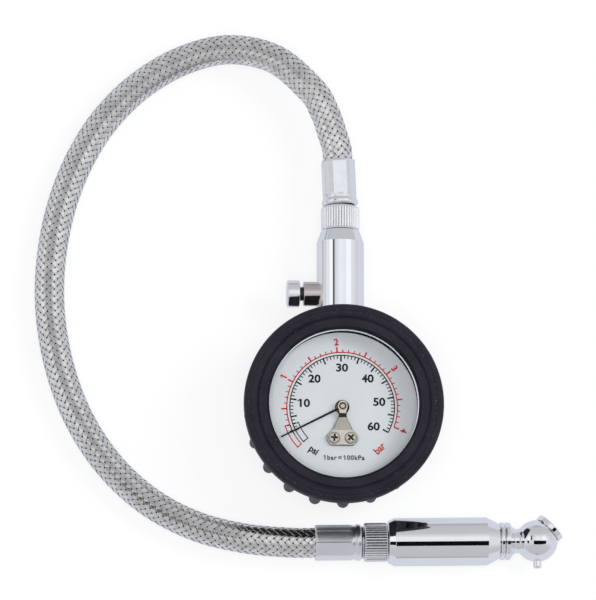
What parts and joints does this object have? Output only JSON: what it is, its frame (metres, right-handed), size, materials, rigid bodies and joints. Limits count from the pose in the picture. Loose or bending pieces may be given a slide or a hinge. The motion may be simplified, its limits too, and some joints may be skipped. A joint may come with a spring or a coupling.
{
  "type": "tire pressure gauge",
  "caption": "Round dial tire pressure gauge in a ribbed rubber boot, with a chromed stem, a bleed button, a steel-braided hose and a swivelling ball chuck.",
  "frame": {"origin": "on the dial's axis, on the flat back of the rubber boot that the gauge lies on", "axes": "+Z out of the dial, +Y along the stem away from the dial, +X along the chuck from the hose to its ball"},
  "size_m": [0.2011, 0.2054, 0.0378],
  "materials": {
    "boot_rubber": "matte moulded rubber",
    "seal_rubber": "smooth rubber",
    "chrome": "bright chrome plate",
    "case_steel": "bright drawn steel",
    "spring_steel": "bright wire and turned steel",
    "nickel": "nickel plated sheet",
    "brass": "bare machined brass",
    "black_paint": "satin black",
    "red_paint": "satin red",
    "dial_white": "satin white enamel",
    "clear_lens": "clear polished",
    "steel_braid": "woven stainless wire"
  },
  "bodies": {
    "gauge": {"rubber_boot": "boot_rubber", "gauge_case": "case_steel", "bezel_ring": "chrome", "lens": "clear_lens", "lens_gasket": "seal_rubber", "spacer_ring": "case_steel", "dial_plate": "dial_white", "pointer_bridge": "nickel", "bridge_screw_left": "spring_steel", "bridge_screw_right": "spring_steel", "bridge_post_left": "brass", "bridge_post_right": "brass", "movement_plate": "brass", "sector_stud": "spring_steel", "socket_block": "brass", "bourdon_tube": "brass", "hairspring": "spring_steel", "stem_body": "chrome", "bleed_valve_body": "chrome", "bleed_spring": "spring_steel", "upper_collar": "chrome", "upper_hose_insert": "brass", "upper_ferrule": "chrome", "upper_hose_tail": "seal_rubber", "braided_hose": "steel_braid", "lower_ferrule": "chrome", "lower_hose_tail": "seal_rubber", "lower_hose_insert": "brass", "lower_collar": "chrome", "chuck_body": "chrome", "check_valve_seat": "seal_rubber", "check_valve_spring": "spring_steel", "spring_retainer": "brass", "swivel_retainer": "chrome"},
    "pointer": {"pointer": "black_paint", "pointer_bush": "brass", "arbor": "spring_steel", "pinion": "brass"},
    "sector": {"sector_gear": "brass", "link_pin": "spring_steel"},
    "link": {"link": "spring_steel"},
    "tube_tip": {"tube_tip": "brass", "tip_pin": "spring_steel"},
    "bleed_button": {"bleed_button": "chrome", "bleed_seal": "seal_rubber", "bleed_valve_disc": "brass"},
    "check_poppet": {"check_valve_poppet": "brass"},
    "ball_head": {"ball_head": "chrome", "mouth_cap": "chrome", "mouth_seal": "seal_rubber", "depressor_pin": "brass", "deflator_nib": "chrome", "swivel_o_ring": "seal_rubber"}
  },
  "joints": [
    {"name": "sector_swing", "type": "hinge", "parent": "gauge", "child": "sector", "pos_m": [0.01194, 0.01094, 0.0126], "axis": [0, 0, 1], "range_deg": [0, 33.8], "stiffness_Nm_per_rad": 0.002},
    {"name": "pointer_turn", "type": "hinge", "parent": "gauge", "child": "pointer", "pos_m": [0, 0, 0.026], "axis": [0, 0, 1], "range_deg": [-237.5, 0.5], "deforming": ["hairspring"]},
    {"name": "link_pivot", "type": "hinge", "parent": "sector", "child": "link", "pos_m": [0.01178, 0.00595, 0.0141], "axis": [0, 0, 1], "range_deg": [-34.5, 0.5]},
    {"name": "tip_slide", "type": "slide", "parent": "gauge", "child": "tube_tip", "axis": [0.9659, 0.2588, 0], "range_m": [-0.0001, 0.003], "deforming": ["bourdon_tube"]},
    {"name": "bleed_press", "type": "slide", "parent": "gauge", "child": "bleed_button", "axis": [1, 0, 0], "range_m": [0, 0.0012], "stiffness_N_per_m": 400, "springref_m": -0.002, "deforming": ["bleed_spring"]},
    {"name": "check_valve", "type": "slide", "parent": "gauge", "child": "check_poppet", "axis": [-0.9999, -0.0157, 0], "range_m": [0, 0.0015], "stiffness_N_per_m": 300, "springref_m": -0.003, "deforming": ["check_valve_spring"]},
    {"name": "chuck_swivel", "type": "hinge", "parent": "gauge", "child": "ball_head", "pos_m": [0.0576, -0.04845, 0.00915], "axis": [0.9999, 0.0157, 0], "continuous": true}
  ],
  "couplings": [
    {"joint": "pointer_turn", "follows": "sector_swing", "ratio": -7},
    {"joint": "link_pivot", "follows": "sector_swing", "ratio": -1},
    {"joint": "tip_slide", "follows": "sector_swing", "m_per_rad": 0.00492}
  ]
}
